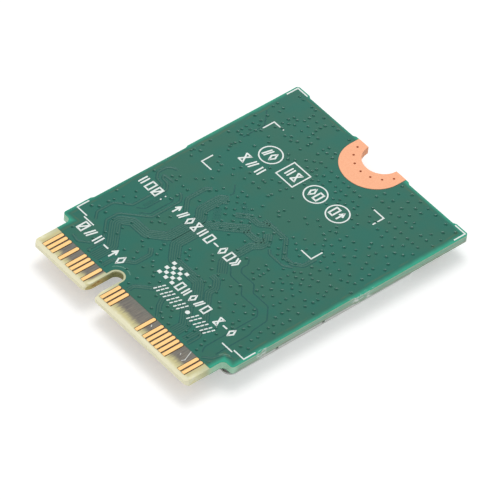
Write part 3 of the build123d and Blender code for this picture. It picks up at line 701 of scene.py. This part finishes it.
# Sweeps a profile of (offset, height, colour) along a line with sunk ends, into the lists of a mesh
def sweep(store, points, profile, s):
    verts, faces, colours = store
    last = len(points) - 1
    wide = len(profile)
    start = len(verts)
    for i, p in enumerate(points):
        normal = across(points[max(0, i - 1)], p, points[min(last, i + 1)])
        for offset, height, colour in profile:
            q = Vector(p) + normal * offset
            rise = -s["sunk"] if i in (0, last) else height
            verts.append((q.x * mm, q.y * mm, (s["level"] + rise) * mm))
            colours.append(colour)
    for i in range(last):
        a = start + i * wide
        b = a + wide
        faces += [(a + k, b + k, b + k + 1, a + k + 1) for k in range(wide - 1)]


def arcPoints(x, y, radius, first=0.0, last=360.0, pieces=40):
    return [
        (x + radius * math.cos(math.radians(first + (last - first) * k / pieces)),
         y + radius * math.sin(math.radians(first + (last - first) * k / pieces)))
        for k in range(pieces + 1)
    ]


def traceProfile(count, s):
    plain, gap, trace = (0, 0, 0), (0, 1, 0), (1, 0, 0)
    half = s["traceWidth"] / 2
    foot = half + s["traceSlope"]
    low, high = s["gapHeight"], s["traceHeight"]
    out = []
    for i in range(count):
        mid = (i - (count - 1) / 2) * s["traceSpacing"]
        out += [(mid - foot, low, gap), (mid - half, high, trace)]
        out += [(mid + half, high, trace), (mid + foot, low, gap)]
    edge = out[-1][0]
    wide = s["gapWidth"]
    out = [(-edge - wide, -s["sunk"], plain), (-edge - wide * 0.6, low, gap)] + out
    out += [(edge + wide * 0.6, low, gap), (edge + wide, -s["sunk"], plain)]
    return out


# A low flat line whose sides sink into the mask; share is the flat part of its width
def flatProfile(width, share, height, colour, s):
    half = width / 2
    edge, flat = (-s["sunk"], (0, 0, 0)), (height, colour)
    return [(-half, *edge), (-half * share, *flat), (half * share, *flat), (half, *edge)]


def addVias(store, places, level, s, facing=1):
    verts, faces, colours = store
    rng = random.Random(s["seed"])
    sides = s["viaSides"]
    lastRing = len(s["viaRings"]) - 1
    for x, y in places:
        size = s["viaRadius"] * rng.uniform(*s["viaSizes"])
        tall = s["viaHeight"] * rng.uniform(*s["viaHeights"])
        turn = rng.uniform(0, math.pi)
        start = len(verts)
        for r in s["viaRings"] + [0.0]:
            dome = (math.cos(math.pi * r) + 1) / 2
            dome -= s["viaDimple"] * math.exp(-(r / s["viaDimpleSize"]) ** 2)
            height = tall * dome if r < 1 else -s["sunk"]
            # Darker towards the middle of the dome: deeper mask over the hole, and partly painted shade
            dark = max(0.0, min(1.0, s["viaShade"][0] - s["viaShade"][1] * r))
            for k in range(sides if r else 1):
                angle = turn + 2 * math.pi * k / sides
                px = x + size * r * math.cos(angle)
                py = y + size * r * math.sin(angle)
                verts.append((px * mm, py * mm, (level + facing * height) * mm))
                colours.append((0, 0, dark))
        for ring in range(lastRing + 1):
            a = start + ring * sides
            b = a + sides
            for k in range(sides):
                n = (k + 1) % sides
                face = (a + k, a + n, b + n, b + k) if ring < lastRing else (a + k, a + n, b)
                faces.append(face if facing > 0 else face[::-1])


# A mask's own form with one face moved to a level, and the relief of the store laid on it
def finishMask(name, nodeName, face, level, store, s):
    bm = nodeCopy(nodeName)
    for v in bm.verts:
        if abs(v.co.z / mm - face) < 0.01:
            v.co.z = level * mm
    soften(bm, s["edgeSoft"], 1)
    bm.verts.index_update()
    shift = len(bm.verts)
    verts = [tuple(v.co) for v in bm.verts] + store[0]
    faces = [tuple(v.index for v in f.verts) for f in bm.faces]
    faces += [tuple(i + shift for i in f) for f in store[1]]
    bm.free()
    piece = pieceFromLists(name, verts, faces)
    layer = piece.data.color_attributes.new("relief", "FLOAT_COLOR", "POINT")
    for i, c in enumerate([(0, 0, 0)] * shift + store[2]):
        layer.data[i].color = c if len(c) == 4 else (*c, 1)
    finishPiece(piece, "solder_mask", nodeName, sharpAngle=40, weighted=False)


# Solder side mask with its vias and traces as real relief
def makeUpperMask(s):
    store = ([], [], [])
    for count, path in traceRuns:
        sweep(store, trimmed(path, s["traceBend"]), traceProfile(count, s), s)
    # The crest's low alpha carries the painted highlight of the ridge colour
    crest = flatProfile(s["ridgeWidth"], 0.3, s["ridgeHeight"], (0, 0, 0, s["ridgeShade"]), s)
    atKey = (keyX, keyArcY, keyHalf + s["ridgeOut"])
    atShoulder = (tongueHalf + s["shoulderInset"], shoulderY - s["shoulderInset"],
                  s["ridgeOut"] + s["shoulderOut"])
    sweep(store, arcPoints(*atKey, *s["keyRidgeArc"]), crest, s)
    sweep(store, arcPoints(*atShoulder, *s["shoulderRidgeArc"]), crest, s)
    for width, (first, last) in barePatches:
        patch = flatProfile(width, 0.6, s["patchHeight"], (0, s["patchShade"], 0), s)
        path = [tuple(Vector(first).lerp(Vector(last), t)) for t in (0, 0.12, 0.88, 1)]
        sweep(store, path, patch, s)
    line = flatProfile(s["areaLine"], 0.5, s["areaHeight"], (0, 1, 0), s)
    for path in areaEdges:
        sweep(store, trimmed(path, s["areaBend"]), line, s)
    addVias(store, viaPlaces, s["level"], s)
    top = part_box("solder_mask_upper")[1].z / mm
    finishMask("solderMaskUpper", "solder_mask_upper", top, s["level"], store, s)


makeUpperMask(maskForm)
print("upper mask made,", len(viaPlaces), "vias")


# Component side mask: the same vias come out where neither the can, the pad nor a part covers them
def makeLowerMask(s):
    canLow, canHigh = (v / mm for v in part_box("shield_lid"))
    padLow, padHigh = (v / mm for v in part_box("screw_ground_pad"))

    def within(x, y, low, high, margin):
        return low.x - margin < x < high.x + margin and low.y - margin < y < high.y + margin

    def covered(x, y):
        underCan = within(x, y, canLow, canHigh, s["canMargin"])
        inPart = s["partsX"][0] < abs(x) < s["partsX"][1] and s["partsY"][0] < y < s["partsY"][1]
        return underCan or inPart or within(x, y, padLow, padHigh, s["padMargin"])

    store = ([], [], [])
    inView = [(x, y) for x, y in viaPlaces if not covered(x, y)]
    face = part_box("solder_mask_lower")[0].z / mm
    tall = s["lowerViaHeight"]
    addVias(store, inView, face + tall, dict(s, viaHeight=tall), facing=-1)
    finishMask("solderMaskLower", "solder_mask_lower", face, face + tall, store, s)


makeLowerMask(maskForm)
print("lower mask made")


# White print: brackets, offset lines and rows of plain marks
printForm = {
    "line": 0.135,
    "markLine": 0.165,
    "arm": 1.235,
    "bracketInset": 0.22,
    "frontInset": 1.4,
    "offsetIn": 1.82,
    "offsetHalf": 0.62,
    "offsetDrop": 0.25,
    "frameX": (-8.83, 5.37),
    "frameY": (2.35, 10.43),
    "ringY": 7.6,
    "ringX": (-5.95, -0.15, 2.7),
    "ringRadius": 1.04,
    "squareX": -3.03,
    "squareHalf": 1.045,
    "insideHeight": 0.96,
    "top": 0.021,
    "sunk": 0.004,
    "sample": 0.05,
    "ragged": 0.007,
    "viaClear": 0.16,
    "taper": 0.45,
    "flat": 0.88,
    "endTop": 0.6,
    "cornerLeast": 0.6,
    "lift": 0.0007,
    "lifts": 7,
    "seed": 3,
}

glyphs = {
    "square": [[(0, 0), (1, 0), (1, 1), (0, 1), (0, 0)]],
    "diamond": [[(0.5, 0), (1, 0.5), (0.5, 1), (0, 0.5), (0.5, 0)]],
    "glass": [[(0, 0), (1, 0), (0, 1)], [(0, 1), (1, 1), (0, 0)]],
    "crossedBox": [[(0, 0), (1, 0), (1, 1), (0, 1), (0, 0)], [(0, 0), (1, 1)]],
    "bars": [[(0.15, 0), (0.15, 1)], [(0.75, 0), (0.75, 1)]],
    "slashes": [[(0, 0), (0.45, 1)], [(0.5, 0), (0.95, 1)]],
    "chevrons": [[(0, 0), (0.45, 0.5), (0, 1)], [(0.5, 0), (0.95, 0.5), (0.5, 1)]],
    "arrow": [[(0.5, 0), (0.5, 1)], [(0.05, 0.55), (0.5, 1), (0.95, 0.55)]],
    "dash": [[(0, 0.5), (1, 0.5)]],
    "dots": [[(0.45, 0.15), (0.55, 0.15)], [(0.45, 0.7), (0.55, 0.7)]],
}

# Marks inside the rings and the square: first x and width
insideMarks = [
    ("slashes", -6.55, 0.46),
    ("diamond", -5.87, 0.46),
    ("bars", -3.67, 0.5),
    ("glass", -2.89, 0.5),
    ("diamond", -0.75, 0.46),
    ("square", -0.01, 0.44),
    ("square", 2.1, 0.44),
    ("arrow", 2.82, 0.46),
]

# Rows of marks: lowest and highest y, first x, pitch and width of a mark, in millimetres
markRows = [
    {"y": (-3.5, -2.54), "x": -10.2, "pitch": 0.855, "width": 0.5,
     "marks": ["bars", "square", "crossedBox", "dots", None, "arrow", "slashes", "diamond", "glass",
               "bars", "square", "dash", "diamond", "square", "chevrons"]},
    {"y": (5.12, 6.1), "x": -7.3, "pitch": 1.0, "width": 0.56, "marks": ["glass", "slashes", "bars"]},
    {"y": (-11.12, -10.1), "x": -9.0, "pitch": 0.98, "width": 0.54,
     "marks": ["crossedBox", "slashes", "bars", "dash", "arrow", "diamond"]},
    {"y": (-8.95, -8.08), "x": 1.15, "pitch": 0.82, "width": 0.46,
     "marks": ["square", "bars", "diamond", "slashes", "square", None, "glass", "dash", "diamond"]},
]

# Leaning pairs of strokes in dashes, with a dot in place of one pair
dashRow = {"y": (-10.5, -9.35), "x": 0.4, "pitch": 0.85, "step": 0.375, "lean": 0.35, "count": 8,
           "dashes": 3, "gap": 0.16}
dashDot = {"place": 4, "in": 0.2, "radius": 0.22}

checkPatch = {"x": -1.15, "y": -9.0, "cell": 0.4, "count": 5, "inset": 0.06}


def sampled(points, length):
    out = []
    for a, b in zip(points, points[1:]):
        count = max(1, round(math.dist(a, b) / length))
        dx, dy = b[0] - a[0], b[1] - a[1]
        out += [(a[0] + dx * k / count, a[1] + dy * k / count) for k in range(count)]
    return out + [points[-1]]


# One printed stroke, left out where it would cross a via
def addStroke(store, points, width, s, rng, level, taper):
    verts, faces = store
    runs = [[]]
    for p in sampled(points, s["sample"]):
        if any(math.dist(p, via) < s["viaClear"] for via in viaPlaces):
            runs.append([])
        else:
            runs[-1].append(p)
    runs = [run for run in runs if len(run) > 1]
    half = width / 2
    reach = half * 0.5 if taper < 1 else 0.001
    low = level - s["sunk"]
    for run in runs:
        start = Vector(run[0]) - (Vector(run[1]) - Vector(run[0])).normalized() * reach
        end = Vector(run[-1]) - (Vector(run[-2]) - Vector(run[-1])).normalized() * reach
        line = [tuple(start)] + run + [tuple(end)]
        first = len(verts)
        count = len(line)
        closed = math.dist(points[0], points[-1]) < 1e-6 and len(runs) == 1
        for i, p in enumerate(line):
            near = (line[max(0, i - 1)], line[min(count - 1, i + 1)])
            if closed and i in (1, count - 2):
                near = (run[-2], run[1])
            normal = across(near[0], p, near[1], s["cornerLeast"])
            atEnd = i in (0, count - 1)
            narrow = taper if atEnd and not closed else 1.0
            left = half * narrow + rng.uniform(-1, 1) * s["ragged"]
            right = half * narrow + rng.uniform(-1, 1) * s["ragged"]
            top = level + s["top"] * (s["endTop"] if atEnd and taper < 1 else 1.0)
            flat = s["flat"]
            for offset, z in ((left, low), (left * flat, top), (-right * flat, top), (-right, low)):
                q = Vector(p) + normal * offset
                verts.append((q.x * mm, q.y * mm, z * mm))
        for k in range(first, first + (count - 1) * 4, 4):
            faces += [(k + j + 1, k + j, k + j + 4, k + j + 5) for j in range(3)]
        faces.append((first, first + 1, first + 2, first + 3))
        last = first + (count - 1) * 4
        faces.append((last + 3, last + 2, last + 1, last))


def addDot(store, x, y, radius, s, level, sides=20):
    verts, faces = store
    first = len(verts)
    for r, z in ((radius, level - s["sunk"]), (radius * 0.93, level + s["top"])):
        verts += [(px * mm, py * mm, z * mm) for px, py in arcPoints(x, y, r, pieces=sides)[:-1]]
    for k in range(sides):
        n = (k + 1) % sides
        faces.append((first + k, first + n, first + sides + n, first + sides + k))
    faces.append(tuple(first + sides + k for k in range(sides)))


def makePrint(s):
    level = maskForm["level"]
    store = ([], [])
    rng = random.Random(s["seed"])
    done = []

    def stroke(points, width=s["line"], taper=s["taper"]):
        done.append(points)
        lifted = dict(s, top=s["top"] + s["lift"] * (len(done) % s["lifts"]))
        addStroke(store, points, width, lifted, rng, level, taper)

    def mark(name, x, y, width, height):
        for points in glyphs[name]:
            stroke([(x + px * width, y + py * height) for px, py in points], s["markLine"])

    def bracket(x, y, wayX, wayY):
        stroke([(x + wayX * s["arm"], y), (x, y), (x, y + wayY * s["arm"])])

    # Brackets and offset lines at the corners, then the brackets of the frame
    bracketX = halfWidth - s["bracketInset"]
    frontY = shoulderY + s["frontInset"]
    for side in (-1, 1):
        bracket(side * bracketX, farEdge - s["bracketInset"], -side, -1)
        bracket(side * bracketX, frontY, -side, 1)
        middle, lineY = side * (bracketX - s["offsetIn"]), frontY - s["offsetDrop"]
        stroke([(middle - s["offsetHalf"], lineY), (middle + s["offsetHalf"], lineY)])
    for x, wayX in zip(s["frameX"], (1, -1)):
        for y, wayY in zip(s["frameY"], (1, -1)):
            bracket(x, y, wayX, wayY)
    # Row of three rings and a square, with plain marks inside
    for x in s["ringX"]:
        stroke(arcPoints(x, s["ringY"], s["ringRadius"]))
    half = s["squareHalf"]
    corners = ((-half, -half), (half, -half), (half, half), (-half, half), (-half, -half))
    stroke([(s["squareX"] + dx, s["ringY"] + dy) for dx, dy in corners])
    for name, x, width in insideMarks:
        mark(name, x, s["ringY"] - s["insideHeight"] / 2, width, s["insideHeight"])
    for row in markRows:
        low, high = row["y"]
        for i, name in enumerate(row["marks"]):
            if name:
                mark(name, row["x"] + i * row["pitch"], low, row["width"], high - low)
    # Dashed row
    low, high = dashRow["y"]
    tall = high - low
    for i in range(dashRow["count"]):
        x = dashRow["x"] + i * dashRow["pitch"]
        if i == dashDot["place"]:
            addDot(store, x + dashDot["in"], low + tall / 2, dashDot["radius"], s, level)
            continue
        for foot in (0.0, dashRow["step"]):
            for k in range(dashRow["dashes"]):
                ends = [(k + part) / dashRow["dashes"] for part in (dashRow["gap"], 1 - dashRow["gap"])]
                stroke([(x + foot + dashRow["lean"] * (t - 0.5), low + tall * t) for t in ends])
    # Checkered patch
    cell, inset = checkPatch["cell"], checkPatch["inset"]
    for i in range(checkPatch["count"]):
        for j in range(checkPatch["count"]):
            if (i + j) % 2 == 0:
                x, y = checkPatch["x"] + i * cell, checkPatch["y"] + j * cell + cell / 2
                ends = [(x + cell * inset, y), (x + cell * (1 - inset), y)]
                stroke(ends, cell * (1 - 2 * inset), 1.0)
    piece = pieceFromLists("whitePrint", *store)
    finishPiece(piece, "white_print", "legend_print", sharpAngle=40, weighted=False)


makePrint(printForm)
print("print made")


# Screw pad: round via holes, lined, and the plated wall of the notch
padForm = {
    "notchRadius": 1.8,
    "radius": 3.03,
    "centreY": 14.02,
    "holeRadius": 0.11,
    "holeRing": 2.48,
    "holeStep": 24.0,
    "holes": 7,
    "thick": 0.035,
    "holePieces": 24,
    "outerPieces": 40,
    "notchPieces": 36,
}


def makePad(s):
    low, high = (v.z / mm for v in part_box("screw_ground_pad"))
    thick = s["thick"]
    count = s["notchPieces"]
    radius = s["radius"]
    outline = [(radius, farEdge)] + arcPoints(0, s["centreY"], radius, 0, -180, s["outerPieces"])
    outline += [(-radius, farEdge)] + arcPoints(0, farEdge, s["notchRadius"], 180, 360, count)
    spread = s["holeStep"] * (s["holes"] - 1)
    middles = arcPoints(0, farEdge, s["holeRing"], 270 - spread / 2, 270 + spread / 2, s["holes"] - 1)
    holes = [arcPoints(x, y, s["holeRadius"], pieces=s["holePieces"])[:-1] for x, y in middles]
    bm = bmesh.new()

    def place(points, z):
        return [bm.verts.new((x * mm, y * mm, z * mm)) for x, y in points]

    for z, down in ((high, -1), (low, 1)):
        edges = []
        for points in [outline] + holes:
            verts = place(points, z)
            edges += [bm.edges.new((v, verts[(i + 1) % len(verts)])) for i, v in enumerate(verts)]
        filled = bmesh.ops.triangle_fill(bm, edges=edges, use_beauty=True, use_dissolve=False)
        faces = [g for g in filled["geom"] if isinstance(g, bmesh.types.BMFace)]
        grown = bmesh.ops.extrude_face_region(bm, geom=faces)
        moved = [g for g in grown["geom"] if isinstance(g, bmesh.types.BMVert)]
        bmesh.ops.translate(bm, verts=moved, vec=(0, 0, down * thick * mm))
    # Linings of the holes and the wall of the notch, between the two pads
    levels = (low + thick, high - thick)
    for points in holes:
        below, above = (place(points, z) for z in levels)
        for k in range(len(points)):
            bm.faces.new((below[k], below[k - 1], above[k - 1], above[k]))
    wall = []
    for r in (s["notchRadius"], s["notchRadius"] + thick):
        wall += [place(arcPoints(0, farEdge, r, 180, 360, count), z) for z in levels]
    for k in range(count):
        bm.faces.new((wall[0][k], wall[0][k + 1], wall[1][k + 1], wall[1][k]))
    for k in (0, count):
        bm.faces.new((wall[0][k], wall[1][k], wall[3][k], wall[2][k]))
    bmesh.ops.recalc_face_normals(bm, faces=bm.faces)
    piece = pieceFromForm("screwPad", bm)
    finishPiece(piece, "ground_copper", "screw_ground_pad")


makePad(padForm)
print("screw pad made")


# A contact stands on a slightly wider dark foot: etched copper, and partly painted shade around the
# contact
contactForm = {
    "soft": 0.012,
    "foot": 0.068,
    "footHeight": 0.002,
}


def makeContacts(name, nodeName, up, s):
    bm = nodeCopy(nodeName)
    face = laminateTop if up > 0 else laminateLow
    feet = [[v.co.copy() for v in f.verts] for f in bm.faces if f.normal.z * up > 0.9]
    soften(bm, s["soft"], 1)
    for outline in feet:
        verts = []
        for i, here in enumerate(outline):
            away = across(outline[i - 1], here, outline[(i + 1) % len(outline)]) * -up * s["foot"] * mm
            spot = here + away.to_3d()
            spot.z = (face + up * s["footHeight"]) * mm
            spot.y = max(spot.y, here.y)  # the foot doesn't reach past the end near the bevel
            verts.append(bm.verts.new(spot))
        bm.faces.new(verts)
    piece = pieceFromForm(name, bm)
    finishPiece(piece, "gold_contact", nodeName, sharpAngle=30)


makeContacts("contactsUpper", "edge_contacts_upper", 1, contactForm)
makeContacts("contactsLower", "edge_contacts_lower", -1, contactForm)
print("contacts made")


# Board: the corners of the key notch are worn round
boardForm = {
    "soft": 0.03,
    "wornCorner": 0.28,
    "wornSegments": 5,
    "mouthReach": 0.4,
    "setBack": 0.0002,
}


def makeBoard(s):
    bm = nodeCopy("circuit_board")
    tips = []
    for e in bm.edges:
        a, b = (v.co / mm for v in e.verts)
        atMouth = max(a.y, b.y) < leadingEdge + s["mouthReach"]
        onWall = abs(abs(a.x - keyX) - keyHalf) < 0.02 and abs(a.x - b.x) < 0.02
        if atMouth and onWall and abs(a.z - b.z) > 0.1:
            tips.append(e)
    bmesh.ops.bevel(bm, geom=tips, offset=s["wornCorner"] * mm, segments=s["wornSegments"],
                    profile=0.5, affect="EDGES")
    soften(bm, s["soft"])
    for v in bm.verts:  # keeps the softened front inside the board's own box
        v.co.y = max(v.co.y, (leadingEdge + s["setBack"]) * mm)
    piece = pieceFromForm("boardLaminate", bm)
    print("board made,", len(tips), "worn corner edges")
    finishPiece(piece, "laminate", "circuit_board")


makeBoard(boardForm)


# Pieces that keep the form of their node, with edges softened by a width
softPieces = {
    "shieldFrame": ("shield_frame", 0.02),
    "shieldLid": ("shield_lid", 0.02),
    "mainReceptacleBase": ("main_antenna_base", 0.03),
    "secondReceptacleBase": ("second_antenna_base", 0.03),
    "mainReceptacleShell": ("main_antenna_shell", 0.015),
    "secondReceptacleShell": ("second_antenna_shell", 0.015),
    "mainReceptaclePin": ("main_antenna_contact", 0.03),
    "secondReceptaclePin": ("second_antenna_contact", 0.03),
    "capacitorBodies": ("capacitor_bodies", 0.02),
    "capacitorEnds": ("capacitor_terminals", 0.03),
}
for pieceName, (nodeName, width) in softPieces.items():
    bm = nodeCopy(nodeName)
    soften(bm, width)
    piece = pieceFromForm(pieceName, bm)
    finishPiece(piece, slotOfNode[nodeName], nodeName)
print("soft edged pieces made,", len(softPieces))


# Floor, lamps and surroundings
stageSet = {
    "floorSize": 1.2,
    "floorColour": paint(255, 255, 255),
    "floorGlow": 0.2,
    "floorWhite": 1.95,
    "keyPower": 0.84,
    "keySize": 0.25,
    "keySpot": (-0.13, 0.13, 0.43),
    "backPower": 1.0,
    "backSize": 0.16,
    "backSpot": (-0.30, 0.32, 0.21),
    "worldLevel": 0.55,
}


def makeStage(s):
    half = s["floorSize"] / 2
    corners = [(-half, -half, 0), (half, -half, 0), (half, half, 0), (-half, half, 0)]
    floor = pieceFromLists("floor", corners, [(0, 1, 2, 3)])
    material, tree, shader = newMaterial("paleFloor", 0.9, 0.0, 0.1)
    shader.inputs["Base Color"].default_value = s["floorColour"]
    path = tree.nodes.new("ShaderNodeLightPath")
    seen = calc(tree, "MAXIMUM", path.outputs["Is Camera Ray"], path.outputs["Is Glossy Ray"])
    white = result(tree, "Emission", {"Strength": s["floorWhite"]})
    share = times(tree, seen, s["floorGlow"])
    mix = result(tree, "MixShader", {0: share, 1: shader.outputs[0], 2: white})
    tree.links.new(mix, tree.nodes["Material Output"].inputs["Surface"])
    floor.data.materials.append(material)
    world = bpy.data.worlds.new("studio")
    bpy.context.scene.world = world
    world.use_nodes = True
    back = world.node_tree.nodes["Background"]
    back.inputs["Color"].default_value = (1, 1, 1, 1)
    back.inputs["Strength"].default_value = s["worldLevel"]
    for name in ("key", "back"):
        lamp = bpy.data.lights.new(name + "Lamp", "AREA")
        lamp.energy = s[name + "Power"]
        lamp.size = s[name + "Size"]
        holder = bpy.data.objects.new(name + "Lamp", lamp)
        holder.location = s[name + "Spot"]
        holder.rotation_euler = (-Vector(s[name + "Spot"])).to_track_quat("-Z", "Y").to_euler()
        bpy.context.scene.collection.objects.link(holder)
        if name == "back":  # low behind the card: only for the glints on the vias
            holder.visible_diffuse = False


makeStage(stageSet)
print("stage made")
